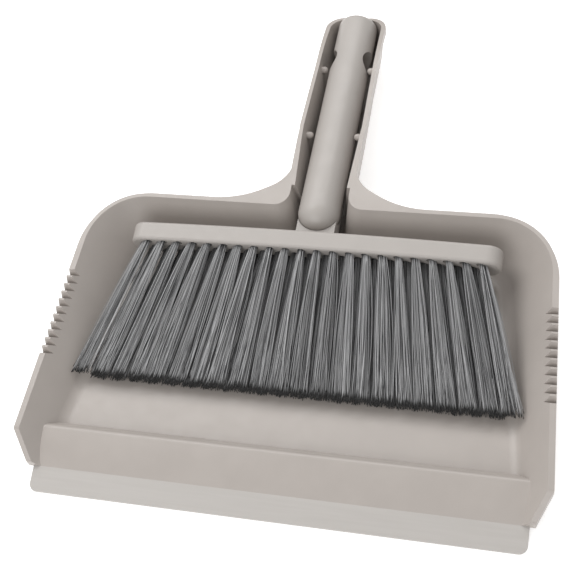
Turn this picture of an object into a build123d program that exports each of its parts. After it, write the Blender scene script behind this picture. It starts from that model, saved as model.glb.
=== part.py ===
"""Dust pan with a hand brush clipped into its hollow handle.

Frame: X to the right, +Y from the scoop's lip back to the handle's end, +Z up.
The origin is at the middle of the set's footprint, on the floor.
While the pieces are built, Y counts from the lip's front edge; the set is centred when it is exported.
All sizes are in millimetres.
"""
from build123d import *
from math import cos, radians, sin, tan
import os

# ---- sizes that pan and brush share -----------------------------------------------------------
WALL = 2.2                  # moulded wall and floor
BLOCK_LENGTH = 231.0        # the brush's block, as wide as the floor at the back corners
TUBE_RADIUS = 13.0          # the brush's handle
TUBE_NOSE_Y = 179.0         # its domed lower end
TUBE_LENGTH = 167.0
END_CLEARANCE = 1.1         # from the brush handle's end to the end wall

# ---- pan: scoop -------------------------------------------------------------------------------
LIP_DEPTH = 15.0            # soft strip in front of the pan, front to back
BACK_HALF = BLOCK_LENGTH / 2  # half width of the floor at the back corners
SPLAY = 1.197               # widening of the floor towards the lip
MOUTH_HALF = BACK_HALF * SPLAY
FLOOR_BACK = 174.0          # back edge of the floor
SIDE_FLARE = 0.80           # outward run of a side wall for each mm of height
BACK_FLARE = 0.50           # the same for the back wall
FLOOR_CORNER = 18.0         # corner radius of the floor, seen from above
SIDE_CORNER_GROWTH = 0.60   # growth of that radius for each mm of height
FLOOR_FILLET = 9.0          # inner fillet between floor and walls

# ---- pan: rim ---------------------------------------------------------------------------------
RIM_WIDTH = 3.4             # flat band round the top of the scoop's walls
RIM_THICK = 2.2
SKIRT_HEIGHT = 4.6          # turned-down outer edge of the band
SKIRT_WALL = 1.5
RIM_FRONT = (30.0, 21.0)    # top front corner of a side wall: distance from the lip, height
RIM_CREST = (243.0, 38.9)   # where the rim stops rising
RIM_DIP = 22.6              # length over which it drops towards the handle's end
RIM_END_HEIGHT = 32.6       # rim height at the handle's end
RIM_BEND_RADIUS = 160.0
CHEEK_HEIGHT = 8.2          # height of the side walls' upright front edge, where its slope starts
CHEEK_RADIUS = 3.5          # rounding at both ends of that slope
GUSSET_REACH = 30.7         # length of the oblique edge between back wall and handle, across
GUSSET_RISE = 17.8          # the same, front to back
GUSSET_RADIUS = 64.0        # where that edge leaves the back wall
GUSSET_WAIST_RADIUS = 22.0  # where it runs into the handle

# ---- pan: ramp behind the lip -----------------------------------------------------------------
RAMP_START = 3.5            # height of the ramp where the strip joins
CREST_Y = 39.0              # crest, distance from the lip
CREST_HEIGHT = 10.5
CREST_RADIUS = 3.0
RAMP_DROP = 5.6             # run of the drop behind the crest
RAMP_BOW = 0.9              # rise of the ramp's middle above a straight line
RAMP_END_LAND = 9.0         # solid stretch at each end of the hollow under the ramp

# ---- pan: comb in each side wall --------------------------------------------------------------
COMB_TEETH = 11
COMB_START = 80.5
COMB_PITCH = 5.32
COMB_DEPTH = 4.0
COMB_OPENING = 4.2
COMB_LEAN = 0.2             # how far each notch's root lies behind its middle
COMB_BACKING = 7.0          # height of the solid band the notches are cut in

# ---- pan: hollow handle -----------------------------------------------------------------------
TUBE_END = TUBE_NOSE_Y + TUBE_LENGTH
THROAT_HALF = TUBE_RADIUS + 6.2     # inner half width at the rim, where the back wall opens
THROAT_RADIUS = 9.5         # inner corner there
BELLY = (252.0, TUBE_RADIUS + 5.9)  # widest place: distance from the lip, inner half width
REAR = (TUBE_END - 43.0, TUBE_RADIUS + 4.9)  # the same where the handle's sides turn parallel
TROUGH_FLARE = 0.16
TROUGH_RIM = 2.5            # width of the rim along the handle
TROUGH_END_RADIUS = 9.5     # inner corner radius at the end
TROUGH_RISE = 9.0           # height of the handle's underside at its end
RIB_Y = 206.0               # front face of the rib that stiffens each side of the handle
RIB_HALF = TUBE_RADIUS + 4.0        # inner half width at the rim between these faces
PEG_RADIUS = 2.2
PEG_Y = (249.0, REAR[0])
PEG_ABOVE_AXIS = 4.6
PEG_CLEARANCE = 0.25        # from a peg's tip to the brush handle, so that it lifts straight out

# ---- brush ------------------------------------------------------------------------------------
TUBE_WALL = 2.2
TUBE_AXIS_HEIGHT = WALL + 23.1      # height of the domed end's centre
TUBE_TILT = 1.2             # degrees, rising to the rear
TUBE_END_FILLET = 3.5
HANG_RADIUS = 9.0
HANG_FROM_END = 34.4
HANG_LINER = 3.0            # solid round the hanging hole
HANG_EDGE = 0.8             # rounding of the hanging hole's mouths
BLOCK_DEPTH = 12.0          # along the bristles
BLOCK_THICK = 20.0
BLOCK_BOW = 1.4             # how far the block's middle lies behind its ends
BLOCK_END_RADIUS = 9.0      # rounding of the ends through the thickness
BLOCK_FILLET = 1.8
BLOCK_CENTRE = (167.1, WALL + 22.8)
HEAD_TILT = 9.0             # degrees, bristles point forward and down
NECK_TOP = 2.1              # neck plate's top above the handle's axis
NECK_THICK = 12.0
NECK_HALF = TUBE_RADIUS - 0.9
NECK_BACK = 206.0           # rear end of the neck plate
NECK_GAP = 0.4              # crease between the neck plate and the handle's domed end

# ---- bristles ---------------------------------------------------------------------------------
COLUMNS = 22
TUFT_MARGIN = 12.4          # from the outermost tufts to the block's ends
TUFT_PITCH = (BLOCK_LENGTH - 2 * TUFT_MARGIN) / (COLUMNS - 1)
ROW_PITCH = 6.0
TUFT_HOLE_RADIUS = 2.3
TUFT_HOLE_DEPTH = 8.5
TUFT_ROOT_CLEARANCE = 0.1
BRISTLE_LENGTH = 88.5       # free length at the ends of the block
TIP_WIDTH = 11.6            # width of a tuft's tip in the row of the front
TIP_THICK = 3.0
ROW_SPREAD = (1.265, 1.222, 1.171)   # tip spacing over root spacing: front, middle, rear row
TIP_LIFT = (1.2, -2.5, -6.2)       # tip centres above the block's middle plane
ANCHOR_WIDTH = 4.0
ANCHOR_THICK = 0.5
ANCHOR_HEIGHT = 1.6

# ---- lip --------------------------------------------------------------------------------------
LIP_EDGE = 0.9              # thickness of the strip's front edge
LIP_TONGUE = 6.0            # tongue bonded under the ramp
LIP_CORNER = 5.0
LIP_HALF = MOUTH_HALF + SIDE_FLARE * RAMP_START + 3.9

FAR = 400.0
TROUGH_INNER_END = TUBE_END + END_CLEARANCE
LENGTH = TROUGH_INNER_END + TROUGH_RIM
RIM_DIP_Y = LENGTH - RIM_DIP


def rim_height(y):
    """Height of the rim's top face at a distance from the lip."""
    if y <= RIM_CREST[0]:
        share = (y - RIM_FRONT[0]) / (RIM_CREST[0] - RIM_FRONT[0])
        return RIM_FRONT[1] + share * (RIM_CREST[1] - RIM_FRONT[1])
    share = max(0.0, (y - RIM_DIP_Y) / (LENGTH - RIM_DIP_Y))
    return RIM_CREST[1] + share * (RIM_END_HEIGHT - RIM_CREST[1])


def tube_height(y):
    """Height of the brush handle's axis."""
    return TUBE_AXIS_HEIGHT + (y - TUBE_NOSE_Y - TUBE_RADIUS) * tan(radians(TUBE_TILT))


def side_half(y, z):
    """Inner half width of the scoop at a distance from the lip and a height."""
    share = (y - LIP_DEPTH) / (FLOOR_BACK + BACK_FLARE * z - LIP_DEPTH)
    return MOUTH_HALF + share * (BACK_HALF - MOUTH_HALF) + SIDE_FLARE * z


def flare_in(z):
    """How much narrower the handle's hollow is at height z than at the rim."""
    return TROUGH_FLARE * (RIM_CREST[1] - z)


def prism(points, half_width):
    """Solid from an outline of (y, z) points, extended to both sides of the middle plane."""
    outline = Polyline(*[(0, y, z) for y, z in points], close=True)
    return extrude(make_face(outline), amount=half_width, dir=(1, 0, 0), both=True)


def mirrored(nodes):
    """Closed outline from (x, y, radius) nodes of its right half, front to back."""
    both = nodes + [(-x, y, r) for x, y, r in reversed(nodes)]
    corners = [(x, y) for x, y, _ in both]
    return make_face(FilletPolyline(*corners, radius=[r for _, _, r in both], close=True))


def hull_outline(z, offset):
    """Inner outline of pan and handle at height z, grown outwards by an offset."""
    back_y = FLOOR_BACK + BACK_FLARE * z + offset
    grow = offset - flare_in(z)
    nodes = [
        (MOUTH_HALF + SIDE_FLARE * z + offset, LIP_DEPTH, 0.0),
        (BACK_HALF + SIDE_FLARE * z + offset, back_y, FLOOR_CORNER + SIDE_CORNER_GROWTH * z + offset),
        (THROAT_HALF + grow, back_y, THROAT_RADIUS - offset),
        (BELLY[1] + grow, BELLY[0], 4 * THROAT_RADIUS),
        (REAR[1] + grow, REAR[0], 4 * THROAT_RADIUS),
        (REAR[1] + grow, TROUGH_INNER_END + offset, TROUGH_END_RADIUS + offset),
    ]
    return Pos(0, 0, z) * mirrored(nodes)


def hull(offset, low=0.0):
    """Flared solid of pan and handle, from a low level to well above the rim."""
    high = RIM_CREST[1] + 6.0
    return loft([hull_outline(low, offset), hull_outline(high, offset)], ruled=True)


def below_rim(drop=0.0):
    """Everything under the rim's top face, behind the side walls' sloping front edges."""
    points = [(LIP_DEPTH - 0.01, -9), (LIP_DEPTH - 0.01, CHEEK_HEIGHT), RIM_FRONT, RIM_CREST,
              (RIM_DIP_Y, RIM_CREST[1]), (LENGTH, RIM_END_HEIGHT), (LENGTH + 2, -9)]
    radii = [0, CHEEK_RADIUS, CHEEK_RADIUS, RIM_BEND_RADIUS, RIM_BEND_RADIUS, 0, 0]
    outline = FilletPolyline(*[(0, y, z) for y, z in points], radius=radii, close=True)
    return Pos(0, 0, -drop) * extrude(make_face(outline), amount=FAR, dir=(1, 0, 0), both=True)


def ramp_points(drop=0.0):
    """Top line of ramp and crest, moved down by a wall."""
    middle = (LIP_DEPTH + CREST_Y) / 2
    return [(LIP_DEPTH, RAMP_START - drop),
            (middle, (RAMP_START + CREST_HEIGHT) / 2 + RAMP_BOW - drop),
            (CREST_Y, CREST_HEIGHT - drop),
            (CREST_Y + RAMP_DROP, WALL - drop)]


def ramp_solid(drop, low):
    """Solid under the ramp's bowed top line, down to a low level."""
    start, bow, crest, foot = [(0, y, z) for y, z in ramp_points(drop)]
    line = ThreePointArc(start, bow, crest) + Polyline(crest, foot, (0, foot[1], low),
                                                       (0, start[1], low), start)
    body = extrude(make_face(line), amount=FAR, dir=(1, 0, 0), both=True)
    soft = [e for e in body.edges() if abs(e.center().Y - CREST_Y) < 0.01
            and abs(e.center().Z - crest[2]) < 0.01 and e.length > FAR]
    return fillet(soft, CREST_RADIUS)


def trough_wedge(lift):
    """Solid below the handle's rising floor."""
    start = FLOOR_BACK + 8.0
    return prism([(start, lift - 6.0), (start, lift), (LENGTH + 5, lift + TROUGH_RISE),
                  (LENGTH + 5, lift - 6.0)], 3 * THROAT_HALF)


def pan_void():
    """Hollow of the pan, with rounded corners at the floor."""
    void = hull(0.0, low=WALL)
    floor_edges = [e for e in void.edges() if abs(e.center().Z - WALL) < 0.01
                   and e.center().Y > LIP_DEPTH + 1]
    void = fillet(floor_edges, FLOOR_FILLET)
    void -= ramp_solid(0.0, -1.0)
    void -= trough_wedge(WALL)
    return void


def pan_skin():
    """Outer form of walls and floor."""
    skin = hull(WALL)
    low_edges = [e for e in skin.edges() if abs(e.center().Z) < 0.01
                 and e.center().Y > LIP_DEPTH + 1]
    skin = fillet(low_edges, FLOOR_FILLET + WALL * 0.6)
    skin &= below_rim()
    skin -= trough_wedge(0.0)
    return skin


def rim_plan():
    """Outline of the rim, seen from above: wide at the gussets beside the handle."""
    back = FLOOR_BACK + BACK_FLARE * rim_height(FLOOR_BACK)
    height = rim_height(back)
    back_y = back + RIM_WIDTH
    waist = THROAT_HALF
    nodes = [
        (side_half(LIP_DEPTH, CHEEK_HEIGHT) + RIM_WIDTH, LIP_DEPTH, 0.0),
        (side_half(*RIM_FRONT) + RIM_WIDTH, RIM_FRONT[0], CHEEK_RADIUS),
        (BACK_HALF + SIDE_FLARE * height + RIM_WIDTH, back_y,
         FLOOR_CORNER + SIDE_CORNER_GROWTH * height + RIM_WIDTH),
        (waist + GUSSET_REACH, back_y, GUSSET_RADIUS),
        (waist, back_y + GUSSET_RISE, GUSSET_WAIST_RADIUS),
        (BELLY[1] + TROUGH_RIM, BELLY[0], 4 * THROAT_RADIUS),
        (REAR[1] + TROUGH_RIM, REAR[0], 4 * THROAT_RADIUS),
        (REAR[1] + TROUGH_RIM, LENGTH, TROUGH_END_RADIUS + TROUGH_RIM),
    ]
    return mirrored(nodes)


def under_rim(plan, depth):
    """Upright-sided slab under the rim's top face."""
    return (extrude(plan, amount=RIM_CREST[1] + 1) & below_rim()) - below_rim(depth)


def rim_band():
    """Flat band round the walls with its turned-down edge, solid where the comb is cut."""
    plan = rim_plan()
    band = under_rim(plan, RIM_THICK)
    band += under_rim(plan - offset(plan, -SKIRT_WALL), SKIRT_HEIGHT)
    comb_length = (COMB_TEETH + 1) * COMB_PITCH
    comb_middle = COMB_START + (COMB_TEETH - 1) / 2 * COMB_PITCH
    strip = Pos(0, comb_middle, 0) * Rectangle(FAR, comb_length)
    strip -= Pos(0, comb_middle, 0) * Rectangle(2 * BACK_HALF, comb_length)
    band += under_rim(plan & strip, COMB_BACKING)
    return band


def handle_ribs():
    """Ribs that thicken both sides of the handle behind its throat, fading out at the belly."""
    result = []
    high = RIM_CREST[1] + 6.0
    for side in (-1, 1):
        faces = []
        for z in (WALL, high):
            inset = flare_in(z)
            corners = [(THROAT_HALF + 1.0 - inset, RIB_Y), (RIB_HALF - inset, RIB_Y),
                       (BELLY[1] - inset, BELLY[0]), (BELLY[1] + 1.0 - inset, BELLY[0])]
            outline = Polyline(*[(side * x, y) for x, y in corners], close=True)
            faces.append(Pos(0, 0, z) * make_face(outline))
        result.append(loft(faces, ruled=True) & below_rim())
    return result


def comb_cutter(index):
    """Wedge that cuts one notch through both side walls."""
    y = COMB_START + index * COMB_PITCH
    top = rim_height(y) + 2.0
    grow = (COMB_DEPTH + 2.0) / COMB_DEPTH
    half = COMB_OPENING / 2 * grow
    points = [(y - half, top), (y + COMB_LEAN, top - COMB_DEPTH - 2.0), (y + half, top)]
    both = prism(points, FAR / 2)
    return both - Box(2 * BACK_HALF, FAR * 2, FAR)


def pegs():
    """Round-nosed pegs that hold the brush handle in the trough."""
    result = []
    tip = TUBE_RADIUS + PEG_CLEARANCE
    for y in PEG_Y:
        z = tube_height(y) + PEG_ABOVE_AXIS
        reach = REAR[1] - flare_in(z) + WALL / 2
        for side in (-1, 1):
            shank = Cylinder(PEG_RADIUS, reach - tip - PEG_RADIUS, rotation=(0, 90, 0))
            shank = Pos(side * (reach + tip + PEG_RADIUS) / 2, y, z) * shank
            nose = Pos(side * (tip + PEG_RADIUS), y, z) * Sphere(PEG_RADIUS)
            result.append(shank + nose)
    return result


def tube_path(radius, start, end):
    """Cylinder round the brush handle's axis, between two distances from its domed end."""
    body = Cylinder(radius, end - start, rotation=(-90, 0, 0))
    body = Pos(0, (start + end) / 2, 0) * body
    return tube_frame() * body


def tube_frame():
    """Place of the brush handle: its domed end's centre, tilted."""
    return Pos(0, TUBE_NOSE_Y + TUBE_RADIUS, TUBE_AXIS_HEIGHT) * Rot(TUBE_TILT, 0, 0)


def pan_body():
    body = pan_skin() + rim_band()
    body -= pan_void()
    hollow = ramp_solid(WALL, -10.0) & Box(2 * (MOUTH_HALF - RAMP_END_LAND), FAR, 60)
    body -= hollow
    for index in range(COMB_TEETH):
        body -= comb_cutter(index)
    for piece in handle_ribs() + pegs():
        body += piece
    return body


def lip_strip():
    """Soft strip along the front edge, with a tongue bonded under the ramp."""
    slope = (CREST_HEIGHT - RAMP_START) / (CREST_Y - LIP_DEPTH)
    under = RAMP_START - WALL
    tongue_end = LIP_DEPTH + LIP_TONGUE
    strip = prism([(0, 0), (0, LIP_EDGE), (LIP_DEPTH, RAMP_START), (LIP_DEPTH, 0.3)], LIP_HALF)
    upright = [e for e in strip.edges().filter_by(Axis.Z) if e.center().Y < 1]
    strip = fillet(upright, LIP_CORNER)
    tongue = prism([(LIP_DEPTH - 1, 0.3), (LIP_DEPTH - 1, under), (LIP_DEPTH, under),
                    (tongue_end, under + slope * LIP_TONGUE - 0.1), (tongue_end, 0.8)],
                   MOUTH_HALF - RAMP_END_LAND - 1.0)
    return strip + tongue


def head_frame():
    """Place of the brush head: X across, Y against the bristles, Z up through the block."""
    y, z = BLOCK_CENTRE
    return Pos(0, y, z) * Rot(HEAD_TILT, 0, 0)


def handle_tube():
    """Hollow round handle with a domed lower end and a hanging hole across it."""
    tube = Pos(0, (TUBE_LENGTH - TUBE_RADIUS) / 2, 0) * Cylinder(
        TUBE_RADIUS, TUBE_LENGTH - TUBE_RADIUS, rotation=(-90, 0, 0))
    far_edge = tube.edges().filter_by(GeomType.CIRCLE).sort_by(Axis.Y)[-1]
    tube = fillet(far_edge, TUBE_END_FILLET) + Sphere(TUBE_RADIUS)
    bore = TUBE_RADIUS - TUBE_WALL
    end = TUBE_LENGTH - TUBE_RADIUS
    hole_y = end - HANG_FROM_END
    spans = [(0.0, hole_y - HANG_RADIUS - HANG_LINER),
             (hole_y + HANG_RADIUS + HANG_LINER, end - TUBE_WALL)]
    for low, high in spans:
        tube -= Pos(0, (low + high) / 2, 0) * Cylinder(bore, high - low, rotation=(-90, 0, 0))
    tube -= Sphere(bore)
    tube -= Pos(0, hole_y, 0) * Cylinder(HANG_RADIUS, 4 * TUBE_RADIUS, rotation=(0, 90, 0))
    mouths = [e for e in tube.edges() if abs(e.center().Y - hole_y) < 0.5 and e.length > 40]
    return tube_frame() * fillet(mouths, HANG_EDGE)


def bow(x):
    """How far the bowed block lies behind its ends at a place across."""
    return BLOCK_BOW * (1 - (2 * x / BLOCK_LENGTH) ** 2)


def tuft_root(column, row):
    """Root of a tuft in the head's frame: x across and z through the block."""
    shift = 0.5 if row == 1 else 0.0
    x = (column + shift - (COLUMNS - 1) / 2) * TUFT_PITCH
    return x, (1 - row) * ROW_PITCH


def rows_of(column):
    """Rows that have a tuft in this column; the middle row is staggered and one shorter."""
    return (0, 1, 2) if column < COLUMNS - 1 else (0, 2)


def bowed_edge(y):
    """Arc across the block through its bowed middle."""
    half = BLOCK_LENGTH / 2
    return ThreePointArc((-half, y), (0, y + BLOCK_BOW), (half, y))


def block_bar():
    """Rounded bar of the block, bowed backwards in the middle."""
    front = bowed_edge(-BLOCK_DEPTH / 2)
    rear = bowed_edge(BLOCK_DEPTH / 2)
    plan = front + rear + Line(front @ 0, rear @ 0) + Line(front @ 1, rear @ 1)
    bar = extrude(make_face(plan), amount=BLOCK_THICK, both=True)
    end_on = RectangleRounded(BLOCK_LENGTH, BLOCK_THICK, BLOCK_END_RADIUS)
    bar &= extrude(Plane.XZ * end_on, amount=2 * BLOCK_DEPTH, both=True)
    return fillet(bar.edges(), BLOCK_FILLET)


def neck_plate():
    """Plate from the block to the handle, level with the handle, cradling its domed end."""
    start = BLOCK_CENTRE[0] - TUBE_NOSE_Y - TUBE_RADIUS
    end = NECK_BACK - TUBE_NOSE_Y - TUBE_RADIUS
    plate = Box(2 * NECK_HALF, end - start, NECK_THICK)
    plate = fillet(plate.edges().filter_by(Axis.Z).sort_by(Axis.Y)[-2:], NECK_HALF * 0.4)
    return tube_frame() * Pos(0, (start + end) / 2, NECK_TOP - NECK_THICK / 2) * plate


def tuft_hole(column, row):
    """Hole for one tuft, in the head's frame, open through the block's bowed front."""
    x, z = tuft_root(column, row)
    bottom = bow(x) + TUFT_HOLE_DEPTH - BLOCK_DEPTH / 2
    length = TUFT_HOLE_DEPTH + BLOCK_BOW
    hole = Cylinder(TUFT_HOLE_RADIUS, length, rotation=(90, 0, 0))
    return head_frame() * Pos(x, bottom - length / 2, z) * hole


def brush_block():
    """Block with its tuft holes and the neck plate that carries the handle."""
    block = head_frame() * block_bar() + neck_plate()
    block -= [tuft_hole(column, row) for column in range(COLUMNS) for row in rows_of(column)]
    block -= tube_path(TUBE_RADIUS, 0.0, TUBE_LENGTH)
    return block - tube_frame() * Sphere(TUBE_RADIUS + NECK_GAP)


def tuft(column, row):
    """One tuft: a round root in its hole, widening to a flat tip."""
    x, z = tuft_root(column, row)
    top = bow(x) - BLOCK_DEPTH / 2
    root = top + TUFT_HOLE_DEPTH - ANCHOR_HEIGHT
    radius = TUFT_HOLE_RADIUS - TUFT_ROOT_CLEARANCE
    spread = ROW_SPREAD[row]
    width = TIP_WIDTH * spread / ROW_SPREAD[0]
    shank = extrude(Pos(x, root, z) * (Plane.XZ * Circle(radius)), amount=root - top)
    lower = Pos(x, top, z) * (Plane.XZ * Circle(radius))
    tip_y = -BLOCK_DEPTH / 2 - BRISTLE_LENGTH
    upper = Pos(x * spread, tip_y, TIP_LIFT[row]) * (Plane.XZ * Ellipse(width / 2, TIP_THICK / 2))
    return head_frame() * (shank + loft([lower, upper]))


def tuft_column(column):
    return Compound(children=[tuft(column, row) for row in rows_of(column)])


def tuft_anchors():
    """Flat wire anchors at the bottom of the tuft holes."""
    result = []
    for column in range(COLUMNS):
        for row in rows_of(column):
            x, z = tuft_root(column, row)
            anchor = Box(ANCHOR_WIDTH, ANCHOR_HEIGHT, ANCHOR_THICK)
            bottom = bow(x) + TUFT_HOLE_DEPTH - BLOCK_DEPTH / 2
            result.append(head_frame() * Pos(x, bottom - ANCHOR_HEIGHT / 2, z) * anchor)
    return Compound(children=result)


def main():
    os.makedirs("parts", exist_ok=True)
    pieces = {
        "pan_body": pan_body(),
        "lip_strip": lip_strip(),
        "brush_block": brush_block(),
        "handle_tube": handle_tube(),
        "tuft_anchors": tuft_anchors(),
    }
    for column in range(COLUMNS):
        pieces[f"tuft_column_{column + 1:02d}"] = tuft_column(column)
    centre = Pos(0, -LENGTH / 2, 0)
    for name, piece in pieces.items():
        export_step(centre * piece, f"parts/{name}.step")


main()
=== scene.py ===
"""Looks of the dust pan and brush set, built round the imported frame.

Metres, in the frame of the CAD model: +X right, +Y from the lip to the handle's end, +Z up.
"""
import math
import random

import bmesh
import bpy
from mathutils import Matrix, Vector


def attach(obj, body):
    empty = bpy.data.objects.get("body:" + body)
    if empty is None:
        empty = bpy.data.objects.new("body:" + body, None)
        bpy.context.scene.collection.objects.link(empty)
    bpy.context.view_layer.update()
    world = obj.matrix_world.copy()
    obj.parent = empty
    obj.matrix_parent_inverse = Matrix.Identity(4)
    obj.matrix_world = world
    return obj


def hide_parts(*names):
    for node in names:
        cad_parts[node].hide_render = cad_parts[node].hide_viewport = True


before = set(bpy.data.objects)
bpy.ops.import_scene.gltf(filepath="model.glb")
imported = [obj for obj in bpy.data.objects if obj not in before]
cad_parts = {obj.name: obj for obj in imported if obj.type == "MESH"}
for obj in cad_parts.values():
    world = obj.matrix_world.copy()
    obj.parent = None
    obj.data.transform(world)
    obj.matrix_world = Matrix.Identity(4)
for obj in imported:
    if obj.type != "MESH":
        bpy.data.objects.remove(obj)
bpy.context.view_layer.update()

SEED = 7

# ---- camera and stage ---------------------------------------------------------------------
CAMERA_TARGET = (-0.016, -0.0264, 0.010)
CAMERA_DISTANCE = 0.7409
CAMERA_AZIMUTH = 26.91
CAMERA_ELEVATION = 56.70
CAMERA_ROLL = 18.46
CAMERA_LENS = 75.8
SENSOR = 36.0
FLOOR_SIZE = 6.0
FLOOR_DROP = 0.0001            # keeps the studio floor out of the pan's own underside
GLOW = 0.45                    # light from the studio floor itself, which softens the shadows

# ---- light --------------------------------------------------------------------------------
WORLD_STRENGTH = 0.50
# name, place, size, power in watts
LAMPS = [
    ("key", (-0.9, 0.6, 1.5), (1.2, 1.2), 14),
    ("top", (0.1, 1.0, 1.3), (1.2, 0.5), 8),
    ("front", (-0.3, -1.5, 0.9), (1.6, 1.0), 11),
]

# ---- bristles -----------------------------------------------------------------------------
COLUMNS = 22
FILAMENTS = 74                 # in each tuft
FILAMENT_RADIUS = 0.00020
FILAMENT_SIDES = 5
FILAMENT_STEPS = 7
ROW_STEP = 0.003               # less than the step in height between rows of tufts
REAR_PAINTED_SHADE = 0.5               # painted shade: the rows behind the front one are coloured darker
TONE = (0.55, 0.30)            # mean and spread of the filaments' grey, 0 dark to 1 light
END_SHARE = 0.012              # share of a tuft's length that counts as its end
ROOT_FILL = 0.9                # share of the root's radius that the filaments fill
SPREAD_ACROSS = (0.78, 0.32)   # kept share of the place at the root, random part
SPREAD_THROUGH = (0.75, 0.30)
SHORT = (0.0022, 0.007)        # spread and limit of how much shorter a filament is
BEND_ACROSS = 0.0011
BEND_THROUGH = 0.0006


def camera_axes(azimuth, elevation, roll):
    """Right, up and back directions of a camera at an azimuth, elevation and roll in degrees."""
    a, e, r = (math.radians(v) for v in (azimuth, elevation, roll))
    back = Vector((math.sin(a) * math.cos(e), -math.cos(a) * math.cos(e), math.sin(e)))
    right = (-back).cross(Vector((0, 0, 1))).normalized()
    up = right.cross(-back)
    return math.cos(r) * right - math.sin(r) * up, math.sin(r) * right + math.cos(r) * up, back


def add_camera():
    data = bpy.data.cameras.new("camera")
    data.sensor_width = SENSOR
    data.lens = CAMERA_LENS
    data.clip_start = 0.01
    camera = bpy.data.objects.new("camera", data)
    bpy.context.collection.objects.link(camera)
    right, up, back = camera_axes(CAMERA_AZIMUTH, CAMERA_ELEVATION, CAMERA_ROLL)
    turn = Matrix((right, up, back)).transposed()
    place = Vector(CAMERA_TARGET) + CAMERA_DISTANCE * back
    camera.matrix_world = Matrix.Translation(place) @ turn.to_4x4()
    bpy.context.scene.camera = camera


def add_area_light(name, place, size, power):
    """Rectangular lamp aimed at the middle of the set."""
    data = bpy.data.lights.new(name, "AREA")
    data.shape = "RECTANGLE"
    data.size, data.size_y = size
    data.energy = power
    light = bpy.data.objects.new(name, data)
    bpy.context.collection.objects.link(light)
    light.location = place
    light.rotation_euler = (-Vector(place)).to_track_quat("-Z", "Y").to_euler()


def add_light():
    world = bpy.data.worlds.new("studio")
    bpy.context.scene.world = world
    world.use_nodes = True
    background = world.node_tree.nodes["Background"]
    background.inputs["Color"].default_value = (1.0, 1.0, 1.0, 1)
    background.inputs["Strength"].default_value = WORLD_STRENGTH
    for lamp in LAMPS:
        add_area_light(*lamp)


def add_floor():
    bm = bmesh.new()
    bmesh.ops.create_grid(bm, x_segments=8, y_segments=8, size=FLOOR_SIZE / 2)
    mesh = bpy.data.meshes.new("floor")
    bm.to_mesh(mesh)
    bm.free()
    floor = bpy.data.objects.new("floor", mesh)
    floor.location.z = -FLOOR_DROP
    bpy.context.collection.objects.link(floor)
    floor.data.materials.append(floor_material())


# ---- materials ----------------------------------------------------------------------------
PLASTIC_IOR = 1.5


class Shader:
    """Small helper round one node material."""

    def __init__(self, name):
        self.material = bpy.data.materials.new(name)
        self.material.use_nodes = True
        self.tree = self.material.node_tree
        self.bsdf = self.tree.nodes["Principled BSDF"]
        self.coordinates = self.node("ShaderNodeTexCoord").outputs["Object"]

    def node(self, kind, **values):
        made = self.tree.nodes.new(kind)
        for key, value in values.items():
            setattr(made, key, value)
        return made

    def link(self, source, target):
        self.tree.links.new(source, target)

    def noise(self, scale, detail=3.0, stretch=None):
        """Noise of a scale per metre, stretched along the axes where that is asked for."""
        noise = self.node("ShaderNodeTexNoise")
        noise.inputs["Scale"].default_value = scale
        noise.inputs["Detail"].default_value = detail
        source = self.coordinates
        if stretch:
            mapping = self.node("ShaderNodeMapping")
            mapping.inputs["Scale"].default_value = stretch
            self.link(source, mapping.inputs["Vector"])
            source = mapping.outputs["Vector"]
        self.link(source, noise.inputs["Vector"])
        return noise.outputs["Fac"]

    def between(self, source, low, high, start=0.35, end=0.65):
        """Maps a 0 to 1 source to a range."""
        made = self.node("ShaderNodeMapRange")
        made.inputs["From Min"].default_value = start
        made.inputs["From Max"].default_value = end
        made.inputs["To Min"].default_value = low
        made.inputs["To Max"].default_value = high
        self.link(source, made.inputs["Value"])
        return made.outputs["Result"]

    def mix(self, factor, first, second):
        """Mixes two colours."""
        made = self.node("ShaderNodeMix", data_type="RGBA")
        for value, socket in ((first, made.inputs["A"]), (second, made.inputs["B"])):
            if isinstance(value, tuple):
                socket.default_value = (*value, 1)
            else:
                self.link(value, socket)
        self.link(factor, made.inputs["Factor"])
        return made.outputs["Result"]

    def bump(self, height, distance, strength=1.0, normal=None):
        made = self.node("ShaderNodeBump")
        made.inputs["Distance"].default_value = distance
        made.inputs["Strength"].default_value = strength
        self.link(height, made.inputs["Height"])
        if normal:
            self.link(normal, made.inputs["Normal"])
        self.link(made.outputs["Normal"], self.bsdf.inputs["Normal"])
        return made.outputs["Normal"]


def moulded_plastic(name, light, dark, roughness, grain):
    """Moulded plastic: faint clouds of tone, uneven gloss and a fine skin texture."""
    s = Shader(name)
    clouds = s.noise(55, 5)
    s.link(s.mix(s.between(clouds, 0, 1), light, dark), s.bsdf.inputs["Base Color"])
    s.link(s.between(s.noise(190, 3), *roughness), s.bsdf.inputs["Roughness"])
    s.bsdf.inputs["IOR"].default_value = PLASTIC_IOR
    wide = s.bump(s.noise(60, 2), 0.00008, 0.2)
    s.bump(s.noise(2600, 2), grain, 0.5, wide)
    return s.material


def lip_material():
    """Soft strip: slightly see-through, with faint lines drawn along it."""
    s = Shader("lip_elastomer")
    lines = s.noise(420, 3, stretch=(0.05, 1.0, 1.0))
    tone = s.mix(s.between(lines, 0, 1), (0.485, 0.460, 0.435), (0.465, 0.440, 0.415))
    s.link(tone, s.bsdf.inputs["Base Color"])
    s.link(s.between(s.noise(140, 3), 0.38, 0.48), s.bsdf.inputs["Roughness"])
    s.bsdf.inputs["Subsurface Weight"].default_value = 0.12
    s.bsdf.inputs["Subsurface Radius"].default_value = (0.002, 0.0018, 0.0016)
    s.bump(lines, 0.00003, 0.15)
    return s.material


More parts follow.
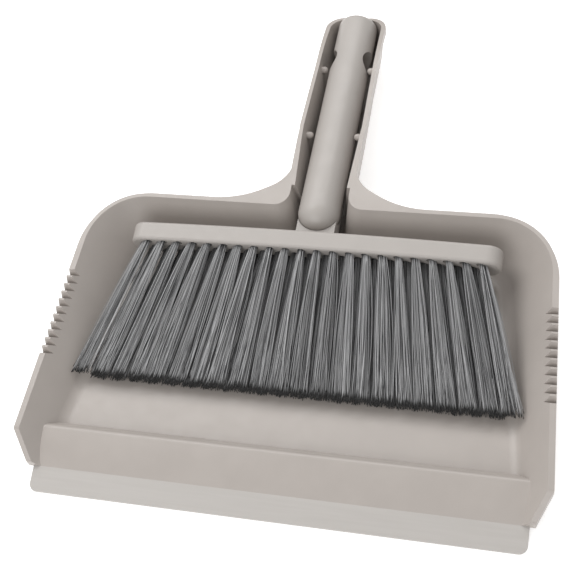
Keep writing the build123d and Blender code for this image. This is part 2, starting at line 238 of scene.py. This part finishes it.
def bristle_material():
    """Filaments: each its own grey, with painted shade on the tips."""
    s = Shader("bristle_grey")
    tone = s.node("ShaderNodeAttribute", attribute_name="tone").outputs["Fac"]
    along = s.node("ShaderNodeAttribute", attribute_name="along").outputs["Fac"]
    grey = s.mix(tone, (0.05, 0.05, 0.052), (0.50, 0.50, 0.505))
    # painted shade: the last few per cent of each filament's length are mixed to near black
    ends = s.between(along, 0, 1, 0.962, 0.99)
    s.link(s.mix(ends, grey, (0.012, 0.012, 0.012)), s.bsdf.inputs["Base Color"])
    s.link(s.between(s.noise(900, 2), 0.36, 0.5), s.bsdf.inputs["Roughness"])
    s.bump(s.noise(5000, 1), 0.00003, 0.4)
    return s.material


def anchor_material():
    s = Shader("anchor_steel")
    drawn = s.noise(3000, 2, stretch=(0.1, 1, 1))
    steel = s.mix(s.between(drawn, 0, 1), (0.62, 0.62, 0.61), (0.45, 0.45, 0.46))
    s.link(steel, s.bsdf.inputs["Base Color"])
    s.bsdf.inputs["Metallic"].default_value = 1.0
    s.link(s.between(drawn, 0.25, 0.4), s.bsdf.inputs["Roughness"])
    s.bump(drawn, 0.00002, 0.4)
    return s.material


def floor_material():
    s = Shader("studio_floor")
    pale = s.mix(s.between(s.noise(3, 2), 0, 1), (0.95, 0.95, 0.95), (0.94, 0.94, 0.94))
    s.link(pale, s.bsdf.inputs["Base Color"])
    s.link(s.between(s.noise(40, 2), 0.75, 0.85), s.bsdf.inputs["Roughness"])
    s.bsdf.inputs["Emission Color"].default_value = (1, 1, 1, 1)
    s.bsdf.inputs["Emission Strength"].default_value = GLOW
    return s.material


def dress(node, material):
    """Gives a CAD node's object one material in all its slots."""
    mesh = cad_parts[node].data
    if not mesh.materials:
        mesh.materials.append(material)
    for index in range(len(mesh.materials)):
        mesh.materials[index] = material


# ---- bristles -----------------------------------------------------------------------------
def loose_parts(mesh):
    """Vertex positions of each separate solid of a mesh."""
    bm = bmesh.new()
    bm.from_mesh(mesh)
    bmesh.ops.remove_doubles(bm, verts=bm.verts, dist=1e-6)
    seen, parts = set(), []
    for start in bm.verts:
        if start.index in seen:
            continue
        seen.add(start.index)
        stack, part = [start], []
        while stack:
            vertex = stack.pop()
            part.append(vertex.co.copy())
            for edge in vertex.link_edges:
                other = edge.other_vert(vertex)
                if other.index not in seen:
                    seen.add(other.index)
                    stack.append(other)
        parts.append(part)
    bm.free()
    return parts


def tuft_ends(points):
    """Root centre, root radius, tip centre and the tip's half sizes across and through."""
    low_y = min(p.y for p in points)
    high_y = max(p.y for p in points)
    span = high_y - low_y
    tip = [p for p in points if p.y < low_y + END_SHARE * span]
    root = [p for p in points if p.y > high_y - END_SHARE * span]

    def middle(group, axis):
        values = [p[axis] for p in group]
        return (min(values) + max(values)) / 2, (max(values) - min(values)) / 2

    tip_x, tip_half_x = middle(tip, 0)
    tip_y, _ = middle(tip, 1)
    tip_z, tip_half_z = middle(tip, 2)
    root_x, root_half = middle(root, 0)
    root_y, _ = middle(root, 1)
    root_z, _ = middle(root, 2)
    return (Vector((root_x, root_y, root_z)), root_half, Vector((tip_x, tip_y, tip_z)),
            tip_half_x, tip_half_z)


def add_filament(bm, layers, path, radius, tone, sides, steps):
    """One filament of even radius along a path given as a function of 0 to 1."""
    tone_layer, along_layer = layers
    rings = []
    for step in range(steps + 1):
        t = step / steps
        centre = path(t)
        ahead = (path(min(t + 0.02, 1.0)) - path(max(t - 0.02, 0.0))).normalized()
        across = ahead.cross(Vector((0, 0, 1))).normalized()
        over = across.cross(ahead)
        ring = []
        for side in range(sides):
            angle = 2 * math.pi * side / sides
            offset = radius * (math.cos(angle) * across + math.sin(angle) * over)
            vertex = bm.verts.new(centre + offset)
            vertex[tone_layer] = tone
            vertex[along_layer] = t
            ring.append(vertex)
        rings.append(ring)
    for first, second in zip(rings, rings[1:]):
        for side in range(sides):
            nxt = (side + 1) % sides
            bm.faces.new((first[side], first[nxt], second[nxt], second[side]))
    bm.faces.new(list(reversed(rings[0])))
    bm.faces.new(rings[-1])


def disc_point(draw):
    """Even random point in the unit disc."""
    radius = math.sqrt(draw.random())
    angle = 2 * math.pi * draw.random()
    return radius * math.cos(angle), radius * math.sin(angle)


def filament_path(draw, ends):
    """Random filament of a tuft: tight at the root, spread at the tip, slightly bent."""
    root, root_half, tip, half_x, half_z = ends
    u, v = disc_point(draw)
    start = root + Vector((u * root_half * ROOT_FILL, 0, v * root_half * ROOT_FILL))
    spread_u = max(-1.0, min(1.0, u * SPREAD_ACROSS[0] + draw.gauss(0, SPREAD_ACROSS[1])))
    spread_v = max(-1.0, min(1.0, v * SPREAD_THROUGH[0] + draw.gauss(0, SPREAD_THROUGH[1])))
    short = min(SHORT[1], abs(draw.gauss(0, SHORT[0])))
    end = tip + Vector((spread_u * half_x, short, spread_v * half_z))
    bend = Vector((draw.gauss(0, BEND_ACROSS), 0, draw.gauss(0, BEND_THROUGH)))

    def path(t):
        return start.lerp(end, t) + bend * (4 * t * (1 - t))

    return path


def bristle_column(index, material):
    node = f"tuft_column_{index:02d}"
    draw = random.Random(SEED * 1000 + index)
    bm = bmesh.new()
    layers = (bm.verts.layers.float.new("tone"), bm.verts.layers.float.new("along"))
    tufts = [tuft_ends(points) for points in loose_parts(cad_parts[node].data)]
    front = max(ends[0].z for ends in tufts)
    for ends in tufts:
        # painted shade: the rows behind the front one get a darker grey
        shade = 1.0 if ends[0].z > front - ROW_STEP else REAR_PAINTED_SHADE
        for _ in range(FILAMENTS):
            tone = shade * min(1.0, max(0.0, draw.gauss(*TONE)))
            add_filament(bm, layers, filament_path(draw, ends), FILAMENT_RADIUS, tone,
                         FILAMENT_SIDES, FILAMENT_STEPS)
    mesh = bpy.data.meshes.new(f"bristles_{index:02d}")
    bm.to_mesh(mesh)
    bm.free()
    mesh.shade_smooth()
    piece = bpy.data.objects.new(f"bristles_{index:02d}", mesh)
    bpy.context.collection.objects.link(piece)
    mesh.materials.append(material)
    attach(piece, "brush")
    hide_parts(node)


def add_bristles():
    material = bristle_material()
    for index in range(1, COLUMNS + 1):
        bristle_column(index, material)


# ---- the set ------------------------------------------------------------------------------
def dress_pan():
    dress("pan_body", moulded_plastic("pan_plastic", (0.430, 0.391, 0.361), (0.413, 0.375, 0.346),
                                      (0.32, 0.42), 0.00001))
    dress("lip_strip", lip_material())


def dress_brush():
    plastic = moulded_plastic("brush_plastic", (0.430, 0.400, 0.374), (0.415, 0.386, 0.361),
                              (0.36, 0.46), 0.00002)
    dress("brush_block", plastic)
    dress("handle_tube", plastic)
    dress("tuft_anchors", anchor_material())


bpy.context.scene.view_settings.view_transform = "Standard"
add_camera()
add_light()
add_floor()
dress_pan()
dress_brush()
add_bristles()
